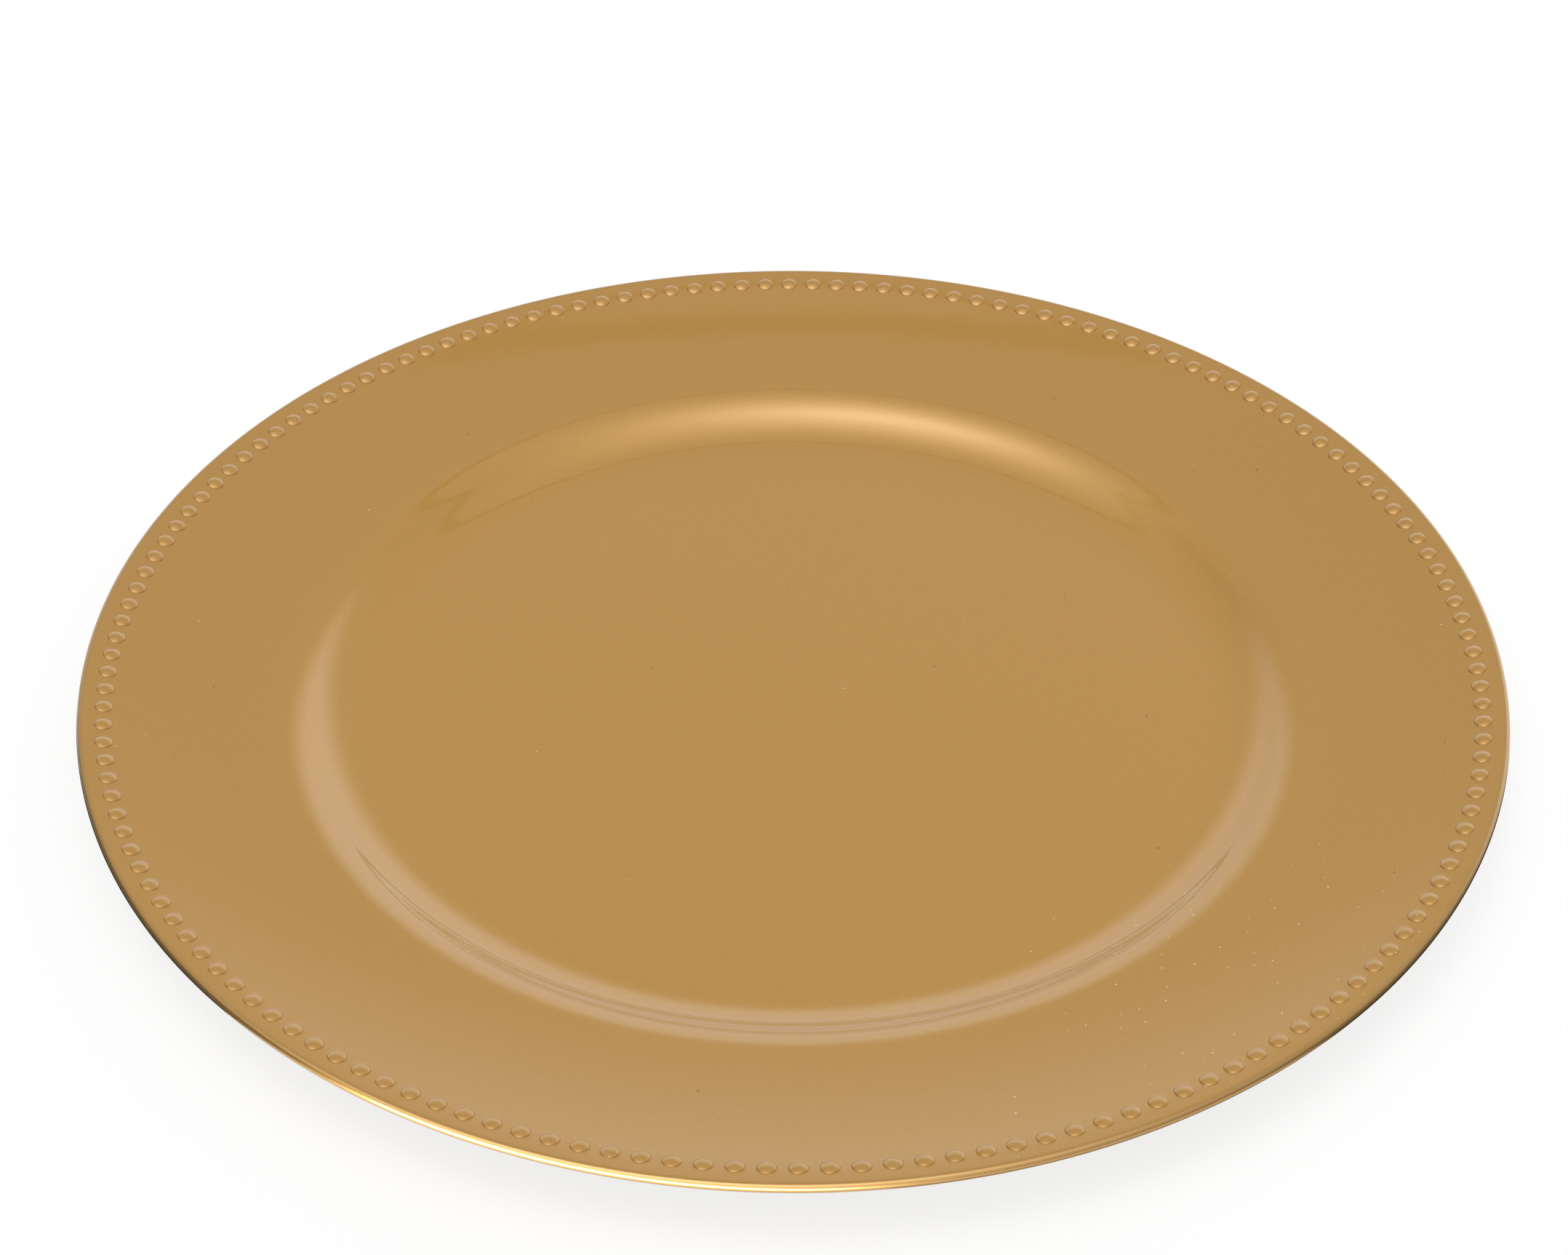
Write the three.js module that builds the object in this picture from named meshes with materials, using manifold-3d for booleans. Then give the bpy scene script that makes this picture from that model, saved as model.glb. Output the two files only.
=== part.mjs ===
// Round charger plate: a one-piece plastic moulding with a sprayed gold lacquer face.
// Millimetres, +Z up, origin at the centre of the foot ring's underside.

import * as THREE from 'three';
import { mergeVertices } from 'three/addons/utils/BufferGeometryUtils.js';
import Module from 'manifold-3d';

// Overall form
const PLATE_DIAMETER = 330;
const RIM_WIDTH = 45.2;
const WALL_THICKNESS = 2.1;
const LIP_THICKNESS = 2.2;
const LACQUER_THICKNESS = 0.1;

// Well wall, measured on the show side: a hollow curve at the floor, then a shoulder into the rim
const WELL_FOOT_RADIUS = 24.5;
const WELL_SHOULDER_RADIUS = 20;
const WELL_WALL_SLOPE = THREE.MathUtils.degToRad(30);

// The rim flares: it leaves the shoulder nearly flat and steepens up to the bead band, which lies flatter
const RIM_SLOPE_INNER = THREE.MathUtils.degToRad(5.8);
const RIM_SLOPE_OUTER = THREE.MathUtils.degToRad(11.2);
const BEAD_BAND_SLOPE = THREE.MathUtils.degToRad(9.6);

// Ring of low domed beads just inside the lip: a short steep edge and a shallow crown
const BEAD_RING_INSET = 6.1;
const BEAD_PITCH = 6.32;
const BEAD_DIAMETER = 4.2;
const BEAD_HEIGHT = 0.52;
const BEAD_CROWN_WIDTH_SHARE = 0.83;
const BEAD_EDGE_HEIGHT_SHARE = 0.45;
const BEAD_BAND_MARGIN = 0.5;

// Foot ring under the well floor
const FOOT_RING_INSET = 1;
const FOOT_RING_WIDTH = 2.4;
const FOOT_RING_HEIGHT = 2;

// Facets
const BEADS_PER_FACET = 2;
const BEAD_SIDES = 6;
const FOOT_CURVE_STEPS = 3;
const SHOULDER_STEPS = 3;
const RIM_STEPS = 2;
const LIP_STEPS = 4;

const plateRadius = PLATE_DIAMETER / 2;
const lipRadius = LIP_THICKNESS / 2;
const beadRadius = BEAD_DIAMETER / 2;
const beadRingRadius = plateRadius - BEAD_RING_INSET;
const facetCount = Math.round((2 * Math.PI * beadRingRadius) / (BEAD_PITCH * BEADS_PER_FACET));
const beadCount = facetCount * BEADS_PER_FACET;
const coatBack = LACQUER_THICKNESS;
const wallBack = LACQUER_THICKNESS + WALL_THICKNESS;

// Key points of the show side, each a radius and a height
const floorHeight = FOOT_RING_HEIGHT + wallBack;
const shoulderEndRadius = plateRadius - RIM_WIDTH;
const shoulderWidth = WELL_SHOULDER_RADIUS * (Math.sin(WELL_WALL_SLOPE) - Math.sin(RIM_SLOPE_INNER));
const floorRadius = shoulderEndRadius - shoulderWidth - WELL_FOOT_RADIUS * Math.sin(WELL_WALL_SLOPE);
const bandStartRadius = beadRingRadius - beadRadius - BEAD_BAND_MARGIN;
const rimCurveWidth = bandStartRadius - shoulderEndRadius;
const rimCurveRadius = rimCurveWidth / (Math.sin(RIM_SLOPE_OUTER) - Math.sin(RIM_SLOPE_INNER));

function pointOn(centre, radius, angle) {
  return new THREE.Vector2(centre.x + radius * Math.sin(angle), centre.y - radius * Math.cos(angle));
}

function arc(centre, radius, from, to, steps) {
  const points = [];
  for (let i = 1; i <= steps; i += 1) {
    points.push(pointOn(centre, radius, from + ((to - from) * i) / steps));
  }
  return points;
}

const footCentre = new THREE.Vector2(floorRadius, floorHeight + WELL_FOOT_RADIUS);
const wallPoint = pointOn(footCentre, WELL_FOOT_RADIUS, WELL_WALL_SLOPE);
const shoulderCentre = pointOn(wallPoint, WELL_SHOULDER_RADIUS, WELL_WALL_SLOPE);
const shoulderEnd = pointOn(shoulderCentre, -WELL_SHOULDER_RADIUS, RIM_SLOPE_INNER);
const rimCentre = pointOn(shoulderEnd, -rimCurveRadius, RIM_SLOPE_INNER);
const bandStart = pointOn(rimCentre, rimCurveRadius, RIM_SLOPE_OUTER);
const bandEndRadius = plateRadius - lipRadius - lipRadius * Math.sin(BEAD_BAND_SLOPE);

function bandHeight(radius) {
  return bandStart.y + (radius - bandStart.x) * Math.tan(BEAD_BAND_SLOPE);
}

const bandEnd = new THREE.Vector2(bandEndRadius, bandHeight(bandEndRadius));
const lipCentre = pointOn(bandEnd, lipRadius, BEAD_BAND_SLOPE);

// The wall from the axis to the start of the bead band, set back from the show side
function innerWall(back) {
  return [
    new THREE.Vector2(0, floorHeight - back),
    new THREE.Vector2(floorRadius, floorHeight - back),
    ...arc(footCentre, WELL_FOOT_RADIUS + back, 0, WELL_WALL_SLOPE, FOOT_CURVE_STEPS),
    ...arc(shoulderCentre, back - WELL_SHOULDER_RADIUS, WELL_WALL_SLOPE, RIM_SLOPE_INNER, SHOULDER_STEPS),
    ...arc(rimCentre, rimCurveRadius + back, RIM_SLOPE_INNER, RIM_SLOPE_OUTER, RIM_STEPS),
  ];
}

// The whole show side, from the axis over the bead band and round the lip to its underside
function showSide(back) {
  const roundFrom = BEAD_BAND_SLOPE + Math.PI;
  return [
    ...innerWall(back),
    pointOn(lipCentre, back - lipRadius, BEAD_BAND_SLOPE),
    ...arc(lipCentre, lipRadius - back, roundFrom, BEAD_BAND_SLOPE, LIP_STEPS),
  ];
}

// The underside, from the axis over the foot ring to the start of the bead band
function underside() {
  const wall = innerWall(wallBack);
  const footOuter = floorRadius - FOOT_RING_INSET;
  const footInner = footOuter - FOOT_RING_WIDTH;
  return [
    wall[0],
    new THREE.Vector2(footInner, FOOT_RING_HEIGHT),
    new THREE.Vector2(footInner, 0),
    new THREE.Vector2(footOuter, 0),
    new THREE.Vector2(footOuter, FOOT_RING_HEIGHT),
    ...wall.slice(1),
  ];
}

// Profiles run outwards below and back inwards above, so that the faces point out
function revolve(profile, sides) {
  const geometry = new THREE.LatheGeometry(profile, sides);
  geometry.deleteAttribute('normal');
  geometry.deleteAttribute('uv');
  geometry.rotateX(Math.PI / 2);
  return geometry;
}

const wasm = await Module();
wasm.setup();

function toSolid(geometry) {
  const merged = mergeVertices(geometry);
  const index = merged.getIndex().array;
  const triVerts = [];
  for (let i = 0; i < index.length; i += 3) {
    const [a, b, c] = [index[i], index[i + 1], index[i + 2]];
    if (a !== b && b !== c && c !== a) {
      triVerts.push(a, b, c);
    }
  }
  return new wasm.Manifold(new wasm.Mesh({
    numProp: 3,
    vertProperties: new Float32Array(merged.getAttribute('position').array),
    triVerts: new Uint32Array(triVerts),
  }));
}

function toGeometry(solid) {
  const mesh = solid.getMesh();
  const geometry = new THREE.BufferGeometry();
  geometry.setAttribute('position', new THREE.BufferAttribute(new Float32Array(mesh.vertProperties), 3));
  geometry.setIndex(new THREE.BufferAttribute(new Uint32Array(mesh.triVerts), 1));
  geometry.computeVertexNormals();
  return geometry;
}

// Plastic body
const mouldingProfile = [...underside(), ...showSide(coatBack).reverse()];
const mouldingGeometry = toGeometry(toSolid(revolve(mouldingProfile, facetCount)));

// Gold coat: it lies on the body from the centre of the floor to the underside of the lip
const coatProfile = [...showSide(coatBack), ...showSide(0).reverse()];
let coat = toSolid(revolve(coatProfile, facetCount));

// One bead: a low dome whose rim is set half way into the coat.
// Its crown ring is turned by half a side against the rim, so that the dome looks rounder.
function beadGeometry() {
  const sink = LACQUER_THICKNESS / 2;
  const profile = [
    new THREE.Vector2(0, -sink),
    new THREE.Vector2(beadRadius, -sink),
    new THREE.Vector2(beadRadius * BEAD_CROWN_WIDTH_SHARE, BEAD_HEIGHT * BEAD_EDGE_HEIGHT_SHARE),
    new THREE.Vector2(0, BEAD_HEIGHT),
  ];
  const geometry = new THREE.LatheGeometry(profile, BEAD_SIDES);
  geometry.deleteAttribute('normal');
  geometry.deleteAttribute('uv');
  const position = geometry.getAttribute('position');
  const axis = new THREE.Vector3(0, 1, 0);
  const crownRing = 2;
  for (let i = crownRing; i < position.count; i += profile.length) {
    const turned = new THREE.Vector3().fromBufferAttribute(position, i);
    turned.applyAxisAngle(axis, Math.PI / BEAD_SIDES);
    position.setXYZ(i, turned.x, turned.y, turned.z);
  }
  return geometry;
}

// Each flat of the rim carries its beads side by side, standing square to the flat
const facetAngle = (2 * Math.PI) / facetCount;
const beadAngle = facetAngle / BEADS_PER_FACET;
const flatSlope = Math.atan(Math.tan(BEAD_BAND_SLOPE) / Math.cos(facetAngle / 2));
const bead = beadGeometry();
for (let i = 0; i < beadCount; i += 1) {
  const middle = (Math.floor(i / BEADS_PER_FACET) + 0.5) * facetAngle - Math.PI / 2;
  const aside = (i % BEADS_PER_FACET - (BEADS_PER_FACET - 1) / 2) * beadAngle;
  const outward = new THREE.Vector3(Math.cos(middle), Math.sin(middle), 0);
  const along = new THREE.Vector3(-Math.sin(middle), Math.cos(middle), 0);
  const up = new THREE.Vector3(0, 0, Math.cos(flatSlope)).addScaledVector(outward, -Math.sin(flatSlope));
  const across = new THREE.Vector3().crossVectors(along, up);
  const reach = beadRingRadius * Math.cos(aside);
  const seat = outward.multiplyScalar(reach).addScaledVector(along, beadRingRadius * Math.sin(aside));
  seat.z = bandHeight(reach / Math.cos(facetAngle / 2));
  const place = new THREE.Matrix4().makeBasis(along, up, across).setPosition(seat);
  coat = coat.add(toSolid(bead.clone().applyMatrix4(place)));
}

const plasticMaterial = new THREE.MeshStandardMaterial({ color: 0x9c7a42, roughness: 0.6, metalness: 0 });
const goldMaterial = new THREE.MeshStandardMaterial({ color: 0xb88f50, roughness: 0.3, metalness: 0.7 });

const moulding = new THREE.Mesh(mouldingGeometry, plasticMaterial);
moulding.name = 'plate_moulding';

const lacquer = new THREE.Mesh(toGeometry(coat), goldMaterial);
lacquer.name = 'gold_lacquer_face';

const plate = new THREE.Group();
plate.add(moulding, lacquer);

export default plate;
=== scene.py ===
"""Gold beaded charger plate: a lacquered plastic plate on a white studio table."""
import math

import bmesh
import bpy
import numpy as np
from mathutils import Matrix, Vector


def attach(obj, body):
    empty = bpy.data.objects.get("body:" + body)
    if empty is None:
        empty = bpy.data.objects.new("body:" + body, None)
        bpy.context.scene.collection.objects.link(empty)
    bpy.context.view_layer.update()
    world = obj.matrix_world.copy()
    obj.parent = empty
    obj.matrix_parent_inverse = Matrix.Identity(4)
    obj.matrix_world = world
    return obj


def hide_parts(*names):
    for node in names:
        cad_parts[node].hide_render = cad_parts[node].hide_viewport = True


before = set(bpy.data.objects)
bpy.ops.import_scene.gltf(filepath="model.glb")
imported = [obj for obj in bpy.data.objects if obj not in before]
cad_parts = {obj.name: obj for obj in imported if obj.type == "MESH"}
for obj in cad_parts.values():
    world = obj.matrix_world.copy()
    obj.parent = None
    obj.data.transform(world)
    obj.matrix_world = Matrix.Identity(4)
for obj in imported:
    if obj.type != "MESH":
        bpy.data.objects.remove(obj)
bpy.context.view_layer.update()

MM = 0.001

# Sizes of the plate in millimetres
PLATE_RADIUS = 165.0
RIM_WIDTH = 45.2
WALL = 2.1
LIP_RADIUS = 1.1
COAT = 0.1
WELL_FOOT_RADIUS = 24.5
WELL_SHOULDER_RADIUS = 20.0
WELL_WALL_SLOPE = math.radians(30)
RIM_SLOPE_INNER = math.radians(5.8)
RIM_SLOPE_OUTER = math.radians(11.2)
RIM_SLOPE_LIP = math.radians(8.0)
FOOT_RING_INSET = 1.0
FOOT_RING_WIDTH = 2.4
FOOT_RING_HEIGHT = 2.0
FOOT_RING_ROUNDING = 0.6

# Beads in millimetres, and the band of the rim that carries them
BEAD_COUNT = 158
BEAD_RING_RADIUS = 158.9
BEAD_BAND_REACH = 2.6
BEAD_HEIGHT = 0.52
BEAD_EDGE_RADIUS = 2.03
BEAD_CROWN_RADIUS = 1.85
BEAD_CROWN_HEIGHT = 0.18
CROWN_POWER = 2.3

# Steps of a bead's edge, from the hollow round it up to the crown: the distance outside the edge,
# the height and the share of painted shade that the hollow gets there
BEAD_EDGE_STEPS = (
    (0.14, 0.0, 0.0),
    (0.08, 0.006, 1.0),
    (0.03, 0.03, 1.0),
    (-0.05, 0.1, 0.6),
    (-0.12, 0.155, 0.2),
)

# Gate mark at the centre of the underside: radius and rise in millimetres
GATE_MARK = ((0, -0.1), (1.1, -0.1), (1.3, 0), (1.5, 0.3), (3.9, 0.3), (4.2, 0.2), (4.4, 0))

# Mesh density
BEAD_COLUMNS = 7
BODY_COLUMNS = 2
FLOOR_ROWS = 8
FOOT_ROWS = 18
SHOULDER_ROWS = 14
RIM_ROWS = 16
BAND_ROWS = 8
EDGE_ROWS = 4
LIP_ROWS = 14
SKIRT_ROWS = 2
FOOT_RING_ROWS = 5
CROWN_SHARES = (1.0, 0.96, 0.88, 0.76, 0.6, 0.42, 0.22)
MERGE_DISTANCE = 2e-7

SECTOR = 2 * math.pi / BEAD_COUNT
QUARTER_TURN = math.pi / 2

# Where the square round a bead starts, as a share of a full turn
SQUARE_CORNER = -0.375

# Mesh attribute that holds the painted shade in the hollows round the beads
PAINTED_SHADE_ATTRIBUTE = "groove_shade"


def point_on(centre, radius, angle):
    return (centre[0] + radius * math.sin(angle), centre[1] - radius * math.cos(angle))


def arc(centre, radius, start, end, steps):
    """Points of an arc after its first one; the angle is the slope of the surface there."""
    return [point_on(centre, radius, start + (end - start) * i / steps) for i in range(1, steps + 1)]


# Key points of the show side, each a radius and a height
floor_height = FOOT_RING_HEIGHT + WALL + COAT
shoulder_end_radius = PLATE_RADIUS - RIM_WIDTH
shoulder_width = WELL_SHOULDER_RADIUS * (math.sin(WELL_WALL_SLOPE) - math.sin(RIM_SLOPE_INNER))
floor_radius = shoulder_end_radius - shoulder_width - WELL_FOOT_RADIUS * math.sin(WELL_WALL_SLOPE)
band_start_radius = BEAD_RING_RADIUS - BEAD_BAND_REACH
band_end_radius = PLATE_RADIUS - LIP_RADIUS - LIP_RADIUS * math.sin(RIM_SLOPE_LIP)
rim_curve_radius = (band_start_radius - shoulder_end_radius) / (
    math.sin(RIM_SLOPE_OUTER) - math.sin(RIM_SLOPE_INNER))
band_curve_radius = (band_end_radius - band_start_radius) / (
    math.sin(RIM_SLOPE_OUTER) - math.sin(RIM_SLOPE_LIP))
foot_centre = (floor_radius, floor_height + WELL_FOOT_RADIUS)
wall_point = point_on(foot_centre, WELL_FOOT_RADIUS, WELL_WALL_SLOPE)
shoulder_centre = point_on(wall_point, WELL_SHOULDER_RADIUS, WELL_WALL_SLOPE)
shoulder_end = point_on(shoulder_centre, -WELL_SHOULDER_RADIUS, RIM_SLOPE_INNER)
rim_centre = point_on(shoulder_end, -rim_curve_radius, RIM_SLOPE_INNER)
band_start = point_on(rim_centre, rim_curve_radius, RIM_SLOPE_OUTER)
band_centre = point_on(band_start, band_curve_radius, RIM_SLOPE_OUTER)
band_end = point_on(band_centre, -band_curve_radius, RIM_SLOPE_LIP)
lip_centre = point_on(band_end, LIP_RADIUS, RIM_SLOPE_LIP)
bead_slope = math.asin((band_centre[0] - BEAD_RING_RADIUS) / band_curve_radius)
bead_ring_height = band_centre[1] + band_curve_radius * math.cos(bead_slope)
patch_slope = 2 * bead_slope - RIM_SLOPE_OUTER


def inner_wall(back):
    """The wall from the axis to the start of the bead band, set back from the show side."""
    floor = [(floor_radius * i / FLOOR_ROWS, floor_height - back) for i in range(FLOOR_ROWS + 1)]
    return (floor
            + arc(foot_centre, WELL_FOOT_RADIUS + back, 0, WELL_WALL_SLOPE, FOOT_ROWS)
            + arc(shoulder_centre, back - WELL_SHOULDER_RADIUS, WELL_WALL_SLOPE, RIM_SLOPE_INNER,
                  SHOULDER_ROWS)
            + arc(rim_centre, rim_curve_radius + back, RIM_SLOPE_INNER, RIM_SLOPE_OUTER, RIM_ROWS))


def band_round(back, start, steps):
    """The part of the rim that carries the beads, from a slope down to the lip's."""
    return arc(band_centre, back - band_curve_radius, start, RIM_SLOPE_LIP, steps)


def lip_round(back):
    """The lip from the end of the bead band to its underside."""
    return arc(lip_centre, LIP_RADIUS - back, RIM_SLOPE_LIP + math.pi, RIM_SLOPE_LIP, LIP_ROWS)


def coat_seat():
    """The surface between the coat and the plastic, from the axis round the lip."""
    return inner_wall(COAT) + band_round(COAT, RIM_SLOPE_OUTER, BAND_ROWS) + lip_round(COAT)


def underside():
    """The underside from the axis over the gate mark and the rounded foot ring to the lip."""
    wall = inner_wall(WALL + COAT)[FLOOR_ROWS:]
    band = band_round(WALL + COAT, RIM_SLOPE_OUTER, BAND_ROWS)[:-1]
    outer = floor_radius - FOOT_RING_INSET
    inner = outer - FOOT_RING_WIDTH
    turn = FOOT_RING_ROUNDING
    floor = [(inner - turn) * i / FLOOR_ROWS for i in range(1, FLOOR_ROWS + 1)]
    return ([(r, FOOT_RING_HEIGHT + rise) for r, rise in GATE_MARK]
            + [(r, FOOT_RING_HEIGHT) for r in floor]
            + arc((inner - turn, FOOT_RING_HEIGHT - turn), -turn, 0, -QUARTER_TURN, FOOT_RING_ROWS)
            + [(inner, turn)]
            + arc((inner + turn, turn), turn, -QUARTER_TURN, 0, FOOT_RING_ROWS)
            + [(outer - turn, 0)]
            + arc((outer - turn, turn), turn, 0, QUARTER_TURN, FOOT_RING_ROWS)
            + [(outer, FOOT_RING_HEIGHT - turn / 2)]
            + [(outer + turn / 2, FOOT_RING_HEIGHT)]
            + wall
            + band)


def place_mesh(mesh, name):
    """Make a finished mesh an object of the scene."""
    data = bpy.data.meshes.new(name)
    mesh.to_mesh(data)
    mesh.free()
    made = bpy.data.objects.new(name, data)
    bpy.context.scene.collection.objects.link(made)
    return made


class Wedge:
    """One bead's share of the plate, in millimetres; turned copies of it close the ring."""

    def __init__(self):
        self.points = []
        self.groove_shade = []
        self.faces = []

    def add(self, points, groove_shade=0.0):
        first = len(self.points)
        self.points.extend(points)
        self.groove_shade.extend([groove_shade] * len(points))
        return list(range(first, first + len(points)))

    def lathe(self, profile, columns):
        """Sweep a profile across the wedge, with faces that point to the left of its direction."""
        angles = [SECTOR * (j / columns - 0.5) for j in range(columns + 1)]
        rows = []
        for radius, height in profile:
            rows.append(self.add([(radius * math.cos(a), radius * math.sin(a), height) for a in angles]))
        for near, far in zip(rows, rows[1:]):
            for j in range(columns):
                self.faces.append((near[j], far[j], far[j + 1], near[j + 1]))

    def rings(self, loops, groove_shades):
        """Join closed loops of equal length, each inside the one before."""
        rows = [self.add(loop, groove_shade) for loop, groove_shade in zip(loops, groove_shades)]
        count = len(rows[0])
        for outer, inner in zip(rows, rows[1:]):
            for i in range(count):
                k = (i + 1) % count
                self.faces.append((outer[i], outer[k], inner[k], inner[i]))
        return rows[-1]

    def close(self, loop, apex):
        """Close a loop with faces that meet in a point."""
        tip = self.add([apex])[0]
        for i in range(len(loop)):
            self.faces.append((loop[i], loop[(i + 1) % len(loop)], tip))

    def turn_round(self, name):
        """Turn the wedge all the way round and merge its seams."""
        base = np.array(self.points) * MM
        mesh = bmesh.new()
        shade_layer = mesh.verts.layers.float.new(PAINTED_SHADE_ATTRIBUTE)
        for k in range(BEAD_COUNT):
            turn = np.array(Matrix.Rotation(SECTOR * k, 3, "Z"))
            corners = [mesh.verts.new(p) for p in base @ turn.T]
            for corner, groove_shade in zip(corners, self.groove_shade):
                corner[shade_layer] = groove_shade
            for face in self.faces:
                mesh.faces.new([corners[i] for i in face])
        bmesh.ops.remove_doubles(mesh, verts=mesh.verts, dist=MERGE_DISTANCE)
        bmesh.ops.dissolve_degenerate(mesh, edges=mesh.edges, dist=MERGE_DISTANCE)
        bmesh.ops.recalc_face_normals(mesh, faces=mesh.faces)
        for face in mesh.faces:
            face.smooth = True
        return place_mesh(mesh, name)


def band_point(across, outward, lift):
    """A point near the wedge's bead: along the ring, outwards along the rim and up from it."""
    slope = bead_slope - outward / band_curve_radius
    radius, height = point_on(band_centre, -band_curve_radius - lift, slope)
    angle = across / BEAD_RING_RADIUS
    return (radius * math.cos(angle), radius * math.sin(angle), height)


def bead_patch(wedge):
    """The square of rim round one bead, and the bead's dome on it."""
    half_across = BEAD_RING_RADIUS * SECTOR / 2
    half_out = band_curve_radius * (RIM_SLOPE_OUTER - bead_slope)
    side = [2 * j / BEAD_COLUMNS - 1 for j in range(BEAD_COLUMNS)]
    square = ([(t, -1) for t in side] + [(1, t) for t in side]
              + [(-t, 1) for t in side] + [(-1, -t) for t in side])
    square = [(u * half_across, v * half_out) for u, v in square]
    angles = [(i / len(square) + SQUARE_CORNER) * 2 * math.pi for i in range(len(square))]

    def circle(radius, lift):
        return [band_point(radius * math.cos(a), radius * math.sin(a), lift) for a in angles]

    # The steep edge, then the shallow crown, each step with its radius, height and share of painted shade
    steps = [(BEAD_EDGE_RADIUS + outside, lift, groove_shade) for outside, lift, groove_shade in BEAD_EDGE_STEPS]
    crown_rise = BEAD_HEIGHT - BEAD_CROWN_HEIGHT
    for share in CROWN_SHARES:
        steps.append((BEAD_CROWN_RADIUS * share, BEAD_HEIGHT - crown_rise * share ** CROWN_POWER, 0.0))
    loops = [[band_point(u, v, 0) for u, v in square]]
    for i in range(1, SKIRT_ROWS):
        t = i / SKIRT_ROWS
        reach = steps[0][0]
        loops.append([band_point(u + (reach * math.cos(a) - u) * t, v + (reach * math.sin(a) - v) * t, 0)
                      for (u, v), a in zip(square, angles)])
    loops += [circle(radius, lift) for radius, lift, groove_shade in steps]
    groove_shades = [0.0] * SKIRT_ROWS + [groove_shade for radius, lift, groove_shade in steps]
    wedge.close(wedge.rings(loops, groove_shades), band_point(0, 0, BEAD_HEIGHT))


def gold_face():
    wedge = Wedge()
    front_edge = [point_on(band_centre, -band_curve_radius, patch_slope)]
    front_edge += band_round(0, patch_slope, EDGE_ROWS) + lip_round(0)
    seat = coat_seat()
    wedge.lathe(inner_wall(0), BEAD_COLUMNS)
    bead_patch(wedge)
    wedge.lathe(front_edge, BEAD_COLUMNS)
    wedge.lathe([front_edge[-1], seat[-1]], BEAD_COLUMNS)
    wedge.lathe(seat[::-1], BEAD_COLUMNS)
    return wedge.turn_round("gold_face_lacquer")


def plastic_body():
    wedge = Wedge()
    seat = coat_seat()
    wedge.lathe(seat, BODY_COLUMNS)
    wedge.lathe([seat[-1]] + underside()[::-1], BODY_COLUMNS)
    return wedge.turn_round("plastic_moulding")


gold = gold_face()
body = plastic_body()

# Gold lacquer: colours, then distances from the axis in metres, then finish
FLAKE_STOPS = ((0.25, (0.563, 0.293, 0.056)), (0.75, (0.647, 0.347, 0.072)))
# Painted shade: the well wall and rim are coloured a little darker than the floor
RIM_PAINTED_SHADE = (0.945, 0.95, 0.96)
LIP_COLOUR = (0.575, 0.335, 0.105)
# Painted shade for the hollows round the beads, where the clear coat is also thinned so that it reflects
# less
GROOVE_PAINTED_SHADE = (0.66, 0.6, 0.52)
RIM_FADE = (0.1, 0.13)
LIP_FADE = (0.1634, 0.1643)
FACE_METALLIC = 0.38
LIP_METALLIC = 0.95
GOLD_ROUGHNESS = 0.4
COAT_ROUGHNESS = 0.06
COAT_IOR = 1.5
FULL_COAT = 1.0
GROOVE_SHADED_COAT = 0.35
FLAKE_SCALE = 3600.0
FLAKE_DETAIL = 2.0
FLAKE_STRENGTH = 0.07
FLAKE_DEPTH = 0.0001
PEEL_SCALE = 160.0
PEEL_DETAIL = 1.0
PEEL_STRENGTH = 0.02
PEEL_DEPTH = 0.001

# Dust nibs and specks: cells to a metre, size in cells, and the random number that a dot has to pass
NIB_COLOUR = (0.9, 0.8, 0.57)
NIB_CENTRE = (0.1, -0.115, 0)
NIB_FADE = (0.02, 0.07)
NIB_THRESHOLDS = (0.45, 0.988)
NIB_CELLS = 170.0
NIB_SIZE = 0.022
SPECK_SHADE = (0.5, 0.45, 0.4)
SPECK_CELLS = 60.0
SPECK_SIZE = 0.011
GOLD_SPECK_THRESHOLD = 0.9
PLASTIC_SPECK_THRESHOLD = 0.85
LEAST_DOT = 0.5

# Plastic of the underside, with gold overspray towards the lip
PLASTIC_STOPS = ((0.3, (0.30, 0.18, 0.05)), (0.7, (0.36, 0.22, 0.065)))
PLASTIC_ROUGHNESS = 0.42
CLOUD_SCALE = 30.0
CLOUD_DETAIL = 3.0
MIST_COLOUR = (0.6, 0.33, 0.07)
MIST_FADE = (0.156, 0.167)
MIST_METALLIC = 0.4
RAGGED_SCALE = 220.0
RAGGED_DETAIL = 4.0
RAGGED_WIDTH = 0.008
TURNING_SCALE = 160.0
TURNING_DISTORTION = 1.5
TURNING_STRENGTH = 0.05
TURNING_DEPTH = 0.0002
GRAIN_SCALE = 1800.0
GRAIN_DETAIL = 2.0
GRAIN_STRENGTH = 0.2
GRAIN_DEPTH = 0.0001

# Colour sockets of the Mix node
MIX_FIRST = 6
MIX_SECOND = 7
MIX_RESULT = 2


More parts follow.
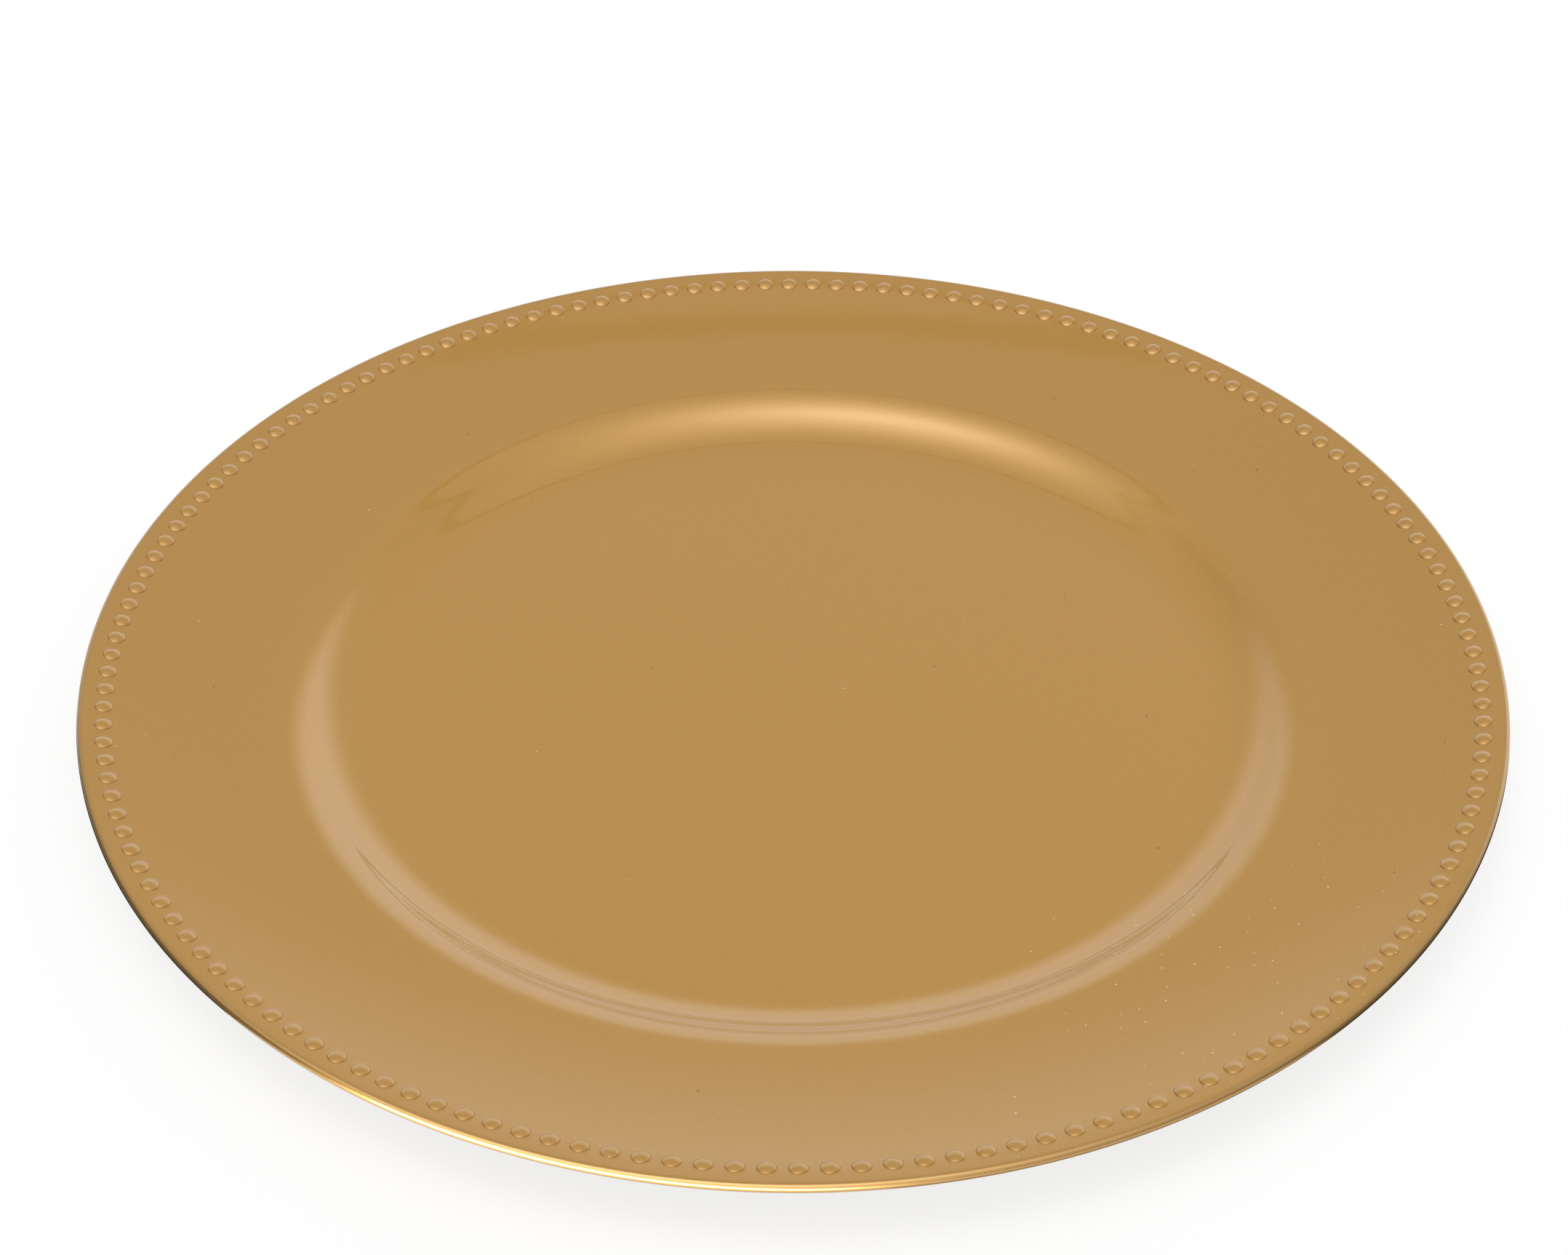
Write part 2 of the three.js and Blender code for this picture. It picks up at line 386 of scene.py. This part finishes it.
class Graph:
    """The shader nodes of a material or of the world."""

    def __init__(self, tree):
        self.nodes = tree.nodes
        self.links = tree.links

    def feed(self, value, socket):
        """Link another node's output to a socket, or set the socket to a constant."""
        if isinstance(value, bpy.types.NodeSocket):
            self.links.new(value, socket)
        else:
            socket.default_value = value

    def reckon(self, operation, first, second=0.0):
        node = self.nodes.new("ShaderNodeMath")
        node.operation = operation
        self.feed(first, node.inputs[0])
        self.feed(second, node.inputs[1])
        return node.outputs[0]

    def scaled(self, value, factor, offset):
        return self.reckon("ADD", self.reckon("MULTIPLY", value, factor), offset)

    def vector(self, operation, first, second=(0, 0, 0)):
        node = self.nodes.new("ShaderNodeVectorMath")
        node.operation = operation
        self.feed(first, node.inputs[0])
        self.feed(second, node.inputs[1])
        return node.outputs

    def spread(self, value, source, target=(0.0, 1.0), curve="LINEAR"):
        """Map a value from one range to another, held at its ends."""
        node = self.nodes.new("ShaderNodeMapRange")
        node.interpolation_type = curve
        for name, number in zip(("From Min", "From Max", "To Min", "To Max"), source + target):
            node.inputs[name].default_value = number
        self.feed(value, node.inputs["Value"])
        return node.outputs["Result"]

    def noise(self, coords, scale, detail):
        node = self.nodes.new("ShaderNodeTexNoise")
        node.inputs["Scale"].default_value = scale
        node.inputs["Detail"].default_value = detail
        self.feed(coords, node.inputs["Vector"])
        return node.outputs["Fac"]

    def ramp(self, value, stops):
        """A colour that runs through stops, each with a place and a colour."""
        node = self.nodes.new("ShaderNodeValToRGB")
        elements = node.color_ramp.elements
        while len(elements) < len(stops):
            elements.new(0.5)
        for element, (place, colour) in zip(elements, stops):
            element.position = place
            element.color = (*colour, 1.0)
        self.feed(value, node.inputs["Fac"])
        return node.outputs["Color"]

    def bump(self, height, strength, distance, normal=None):
        node = self.nodes.new("ShaderNodeBump")
        node.inputs["Strength"].default_value = strength
        node.inputs["Distance"].default_value = distance
        self.feed(height, node.inputs["Height"])
        if normal is not None:
            self.feed(normal, node.inputs["Normal"])
        return node.outputs["Normal"]

    def dots(self, flat, cells, size, threshold):
        """Small round dots strewn over the plate, only where their random number passes the threshold."""
        node = self.nodes.new("ShaderNodeTexVoronoi")
        node.voronoi_dimensions = "2D"
        node.inputs["Scale"].default_value = cells
        self.feed(flat, node.inputs["Vector"])
        number = self.nodes.new("ShaderNodeSeparateColor")
        self.feed(node.outputs["Color"], number.inputs["Color"])
        width = self.reckon("MULTIPLY", self.reckon("ADD", number.outputs["Green"], LEAST_DOT), size)
        near = self.reckon("LESS_THAN", node.outputs["Distance"], width)
        kept = self.reckon("GREATER_THAN", number.outputs["Red"], threshold)
        return self.reckon("MULTIPLY", near, kept)

    def tint(self, share, colour, other, blend="MULTIPLY"):
        """Multiply a colour by another one, or blend it with that, where the share is 1."""
        node = self.nodes.new("ShaderNodeMix")
        node.data_type = "RGBA"
        node.blend_type = blend
        self.feed(share, node.inputs["Factor"])
        self.feed(colour, node.inputs[MIX_FIRST])
        node.inputs[MIX_SECOND].default_value = (*other, 1.0)
        return node.outputs[MIX_RESULT]

    def from_axis(self, coords):
        """The place on the plate seen from above, and how far it lies from the axis."""
        flat = self.vector("MULTIPLY", coords, (1, 1, 0))["Vector"]
        return flat, self.vector("LENGTH", flat)["Value"]

    def background(self, colour, strength):
        node = self.nodes.new("ShaderNodeBackground")
        self.feed(colour, node.inputs["Color"])
        self.feed(strength, node.inputs["Strength"])
        return node.outputs[0]

    def add(self, first, second):
        """The light of two shaders together."""
        node = self.nodes.new("ShaderNodeAddShader")
        self.feed(first, node.inputs[0])
        self.feed(second, node.inputs[1])
        return node.outputs[0]


def new_material(name):
    material = bpy.data.materials.new(name)
    material.use_nodes = True
    return material, Graph(material.node_tree)


def finish_with(graph, values):
    """Give the material's shader its colours, bumps and constants."""
    shader = graph.nodes["Principled BSDF"]
    for name, value in values.items():
        graph.feed(value, shader.inputs[name])


def gold_material():
    material, graph = new_material("gold_lacquer")
    coords = graph.nodes.new("ShaderNodeTexCoord").outputs["Object"]
    flat, reach = graph.from_axis(coords)
    rim = graph.spread(reach, RIM_FADE)
    lip = graph.spread(reach, LIP_FADE)
    hollow = graph.nodes.new("ShaderNodeAttribute")
    hollow.attribute_name = PAINTED_SHADE_ATTRIBUTE
    groove_shade = hollow.outputs["Fac"]
    flake = graph.noise(coords, FLAKE_SCALE, FLAKE_DETAIL)
    colour = graph.ramp(flake, FLAKE_STOPS)
    # Painted shade: the well wall and rim darkened a little against the floor
    colour = graph.tint(rim, colour, RIM_PAINTED_SHADE)
    colour = graph.tint(lip, colour, LIP_COLOUR, "MIX")
    # Painted shade: the colour darkened in the hollows round the beads
    colour = graph.tint(groove_shade, colour, GROOVE_PAINTED_SHADE)

    # Pale dust nibs, thickest on the front right of the rim, and a few dark specks
    away = graph.vector("DISTANCE", flat, NIB_CENTRE)["Value"]
    nib = graph.dots(flat, NIB_CELLS, NIB_SIZE, graph.spread(away, NIB_FADE, NIB_THRESHOLDS))
    speck = graph.dots(flat, SPECK_CELLS, SPECK_SIZE, GOLD_SPECK_THRESHOLD)
    colour = graph.tint(speck, colour, SPECK_SHADE)
    colour = graph.tint(nib, colour, NIB_COLOUR, "MIX")

    # Slight orange peel in the clear gloss, and the flake's own roughness under it
    peel = graph.noise(coords, PEEL_SCALE, PEEL_DETAIL)
    skin = graph.bump(peel, PEEL_STRENGTH, PEEL_DEPTH)
    finish_with(graph, {
        "Base Color": colour,
        "Metallic": graph.scaled(lip, LIP_METALLIC - FACE_METALLIC, FACE_METALLIC),
        "Roughness": GOLD_ROUGHNESS,
        "Normal": graph.bump(flake, FLAKE_STRENGTH, FLAKE_DEPTH, skin),
        # Painted shade: the clear coat thinned in the hollows round the beads, so that they reflect less
        "Coat Weight": graph.spread(groove_shade, (0.0, 1.0), (FULL_COAT, GROOVE_SHADED_COAT)),
        "Coat Roughness": COAT_ROUGHNESS,
        "Coat IOR": COAT_IOR,
        "Coat Normal": skin,
    })
    return material


def plastic_material():
    material, graph = new_material("plastic_body")
    coords = graph.nodes.new("ShaderNodeTexCoord").outputs["Object"]
    flat, reach = graph.from_axis(coords)
    cloud = graph.noise(coords, CLOUD_SCALE, CLOUD_DETAIL)
    colour = graph.ramp(cloud, PLASTIC_STOPS)

    # Gold overspray fades in towards the lip, ragged at its edge
    ragged = graph.noise(coords, RAGGED_SCALE, RAGGED_DETAIL)
    mist = graph.spread(graph.scaled(ragged, RAGGED_WIDTH, reach), MIST_FADE)
    colour = graph.tint(mist, colour, MIST_COLOUR, "MIX")
    speck = graph.dots(flat, SPECK_CELLS, SPECK_SIZE, PLASTIC_SPECK_THRESHOLD)
    colour = graph.tint(speck, colour, SPECK_SHADE)

    # Fine grain of the mould, with faint turning rings
    turned = graph.nodes.new("ShaderNodeTexWave")
    turned.wave_type = "RINGS"
    turned.rings_direction = "SPHERICAL"
    turned.inputs["Scale"].default_value = TURNING_SCALE
    turned.inputs["Distortion"].default_value = TURNING_DISTORTION
    graph.feed(flat, turned.inputs["Vector"])
    rings = graph.bump(turned.outputs["Fac"], TURNING_STRENGTH, TURNING_DEPTH)
    grain = graph.noise(coords, GRAIN_SCALE, GRAIN_DETAIL)
    finish_with(graph, {
        "Base Color": colour,
        "Metallic": graph.reckon("MULTIPLY", mist, MIST_METALLIC),
        "Roughness": PLASTIC_ROUGHNESS,
        "Normal": graph.bump(grain, GRAIN_STRENGTH, GRAIN_DEPTH, rings),
    })
    return material


gold.data.materials.append(gold_material())
body.data.materials.append(plastic_material())

pieces = ((gold, "gold_lacquer_face", "gold_lacquer"), (body, "plate_moulding", "plastic_body"))
for piece, node, slot in pieces:
    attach(piece, "root")
    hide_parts(node)


def grey(level):
    return (level, level, level)


# Table: half its width and its height in metres, the paper's grey and the white that it shows
TABLE_HALF_WIDTH = 3.0
TABLE_HEIGHT = -0.0002
TABLE_PAPER = 0.2
TABLE_WHITE = 0.82

# Studio: the backdrop's paper with a dark line in it, and the ceiling with a dark seam, by height
BLACK = grey(0)
WHITE = grey(1)
LINE = grey(0.08)
BACKDROP_STOPS = (
    (0.0, WHITE),
    (0.045, WHITE),
    (0.056, LINE),
    (0.074, LINE),
    (0.085, WHITE),
    (0.38, WHITE),
    (0.56, BLACK),
)
CEILING_STOPS = (
    (0.0, grey(0.05)),
    (0.28, grey(0.06)),
    (0.48, grey(0.26)),
    (0.70, grey(0.36)),
    (0.782, grey(0.40)),
    (0.789, BLACK),
    (0.803, BLACK),
    (0.810, grey(0.42)),
    (1.0, grey(0.42)),
)
BACKDROP_SAG = -0.2
CEILING_SAG = -0.07
BACKDROP_DIRECTION = (0.14, 1, 0)
BACKDROP_FADE = (0.38, 0.7)
BACKDROP_COLOUR = (0.89, 0.945, 1.0)
BACKDROP_LEVEL = 1.06
BACKDROP_SLANT = 0.3
CEILING_LEVEL = 1.13
CEILING_SLANT = 0.38

# Lights: colour, then the direction, radiance and angle of each glow
LIGHT_COLOUR = (1.0, 0.98, 0.95)
OVERHEAD = ((-0.2, -0.2, 1.0), 3.75, 0.36)
FILL = ((0.45, -0.85, 0.6), 0.6, 0.5)

# Lit card near the front lip, in metres
CARD_PLACE = (-0.048, -0.214, 0.0205)
CARD_TARGET = (0.002, -0.127, 0.0205)
CARD_SIZE = (0.18, 0.036)
CARD_RADIANCE = 11.0

# Dark flags on the table: name, first and last angle in degrees, outer radius and grey
FLAGS = (
    ("left_flag", 180, 221, 0.34, 0.01),
    ("right_flag", 317, 356, 0.34, 0.01),
    ("front_flag", 278, 317, 0.178, 0.3),
)
FLAG_START = 0.166
FLAG_HEIGHT = 0.0004
FLAG_STEPS = 12
FLAG_ROUGHNESS = 0.9


def white_table():
    """A table of grey paper that looks white and still takes the plate's shadow."""
    mesh = bmesh.new()
    bmesh.ops.create_grid(mesh, x_segments=2, y_segments=2, size=TABLE_HALF_WIDTH)
    table = place_mesh(mesh, "studio_table")
    table.location.z = TABLE_HEIGHT
    material, graph = new_material("studio_table")
    graph.nodes.clear()
    paper = graph.nodes.new("ShaderNodeBsdfDiffuse")
    paper.inputs["Color"].default_value = (*grey(TABLE_PAPER), 1)
    path = graph.nodes.new("ShaderNodeLightPath").outputs
    mirrored = graph.reckon("MAXIMUM", path["Is Glossy Ray"], path["Is Transmission Ray"])
    shown = graph.reckon("MAXIMUM", path["Is Camera Ray"], mirrored)
    white = graph.nodes.new("ShaderNodeEmission")
    graph.feed(graph.reckon("MULTIPLY", shown, TABLE_WHITE), white.inputs["Strength"])
    output = graph.nodes.new("ShaderNodeOutputMaterial")
    graph.feed(graph.add(paper.outputs[0], white.outputs[0]), output.inputs["Surface"])
    table.data.materials.append(material)


def studio_world():
    """Soft studio light by direction: a white backdrop behind the plate, a broad glow above it."""
    world = bpy.data.worlds.new("studio")
    world.use_nodes = True
    bpy.context.scene.world = world
    graph = Graph(world.node_tree)
    graph.nodes.clear()
    ray = graph.nodes.new("ShaderNodeTexCoord").outputs["Generated"]

    def toward(direction):
        """How far a ray points along a direction, from -1 to 1."""
        return graph.vector("DOT_PRODUCT", ray, Vector(direction).normalized())["Value"]

    def glow(direction, radiance, angle):
        """A round soft light that fades over the given angle in radians."""
        fall = graph.reckon("MULTIPLY", graph.reckon("SUBTRACT", toward(direction), 1.0), 2.0 / angle ** 2)
        return graph.reckon("MULTIPLY", graph.reckon("EXPONENT", fall), radiance)

    across = toward((1, 0, 0))
    sideways = graph.reckon("ABSOLUTE", across)
    up = toward((0, 0, 1))
    paper = graph.ramp(graph.scaled(sideways, BACKDROP_SAG, up), BACKDROP_STOPS)
    behind = graph.spread(toward(BACKDROP_DIRECTION), BACKDROP_FADE, curve="SMOOTHSTEP")
    lit = graph.reckon("MULTIPLY", graph.reckon("MULTIPLY", paper, behind),
                       graph.scaled(across, BACKDROP_SLANT, BACKDROP_LEVEL))
    backdrop = graph.background((*BACKDROP_COLOUR, 1), lit)
    ceiling = graph.ramp(graph.scaled(sideways, CEILING_SAG, up), CEILING_STOPS)
    room = graph.background(ceiling, graph.scaled(across, CEILING_SLANT, CEILING_LEVEL))
    glows = graph.reckon("ADD", glow(*OVERHEAD), glow(*FILL))
    lights = graph.background((*LIGHT_COLOUR, 1), glows)
    studio = graph.add(graph.add(room, backdrop), lights)

    # Plain white where the camera looks past the table
    white = graph.background((*WHITE, 1), 1.0)
    path = graph.nodes.new("ShaderNodeLightPath").outputs
    view = graph.nodes.new("ShaderNodeMixShader")
    seen = graph.reckon("MAXIMUM", path["Is Camera Ray"], path["Is Transmission Ray"])
    for value, socket in zip((seen, studio, white), view.inputs):
        graph.feed(value, socket)
    output = graph.nodes.new("ShaderNodeOutputWorld")
    graph.feed(view.outputs[0], output.inputs["Surface"])


def front_card():
    """A small lit card near the front lip, seen only in reflections, for the lip's bright spot."""
    data = bpy.data.lights.new("front_card", "AREA")
    data.shape = "RECTANGLE"
    data.size, data.size_y = CARD_SIZE
    data.energy = CARD_RADIANCE * math.pi * CARD_SIZE[0] * CARD_SIZE[1]
    data.color = LIGHT_COLOUR
    lamp = bpy.data.objects.new("front_card", data)
    lamp.location = CARD_PLACE
    lamp.rotation_euler = (Vector(CARD_TARGET) - Vector(CARD_PLACE)).to_track_quat("-Z", "Y").to_euler()
    lamp.visible_camera = False
    lamp.visible_diffuse = False
    bpy.context.scene.collection.objects.link(lamp)


def dark_flag(name, start, end, outer, shade):
    """A dark card on the table beside the plate, seen only in reflections, to draw its edge."""
    mesh = bmesh.new()
    rows = []
    for i in range(FLAG_STEPS + 1):
        angle = math.radians(start + (end - start) * i / FLAG_STEPS)
        ends = [(r * math.cos(angle), r * math.sin(angle), FLAG_HEIGHT) for r in (FLAG_START, outer)]
        rows.append([mesh.verts.new(point) for point in ends])
    for one, two in zip(rows, rows[1:]):
        mesh.faces.new((one[0], one[1], two[1], two[0]))
    flag = place_mesh(mesh, name)
    material, graph = new_material(name)
    finish_with(graph, {"Base Color": (*grey(shade), 1), "Roughness": FLAG_ROUGHNESS})
    flag.data.materials.append(material)
    flag.visible_camera = False
    flag.visible_diffuse = False
    flag.visible_shadow = False


white_table()
studio_world()
front_card()
for flag_row in FLAGS:
    dark_flag(*flag_row)

# Camera: fitted to the outline and the bead ring in the photograph
CAMERA_ELEVATION = math.radians(38.75)
CAMERA_ROLL = math.radians(-0.077)
CAMERA_DISTANCE = 846.5
CAMERA_OFFSET = (2.117, -7.866)
CAMERA_TURN = 0.0144
CAMERA_CLIP = 0.01
FOCAL_PIXELS = 5000.0
IMAGE_WIDTH = 2156
SENSOR_WIDTH = 36.0


def photo_camera():
    e, roll = CAMERA_ELEVATION, CAMERA_ROLL
    back = np.array((0, -math.cos(e), math.sin(e)))
    up = np.array((0, math.sin(e), math.cos(e)))
    right = np.array((1.0, 0, 0))
    right, up = (math.cos(roll) * right - math.sin(roll) * up,
                 math.sin(roll) * right + math.cos(roll) * up)
    place = CAMERA_DISTANCE * back - CAMERA_OFFSET[0] * right - CAMERA_OFFSET[1] * up
    place = place + np.array((0, 0, bead_ring_height))
    pose = np.eye(4)
    pose[:3, 0], pose[:3, 1], pose[:3, 2], pose[:3, 3] = right, up, back, place * MM
    data = bpy.data.cameras.new("photo_camera")
    data.sensor_fit = "HORIZONTAL"
    data.sensor_width = SENSOR_WIDTH
    data.lens = FOCAL_PIXELS * SENSOR_WIDTH / IMAGE_WIDTH
    data.clip_start = CAMERA_CLIP
    camera = bpy.data.objects.new("photo_camera", data)
    bpy.context.scene.collection.objects.link(camera)
    camera.matrix_world = Matrix.Rotation(CAMERA_TURN, 4, "Z") @ Matrix(pose.tolist())
    bpy.context.scene.camera = camera


photo_camera()
bpy.context.scene.view_settings.view_transform = "Standard"
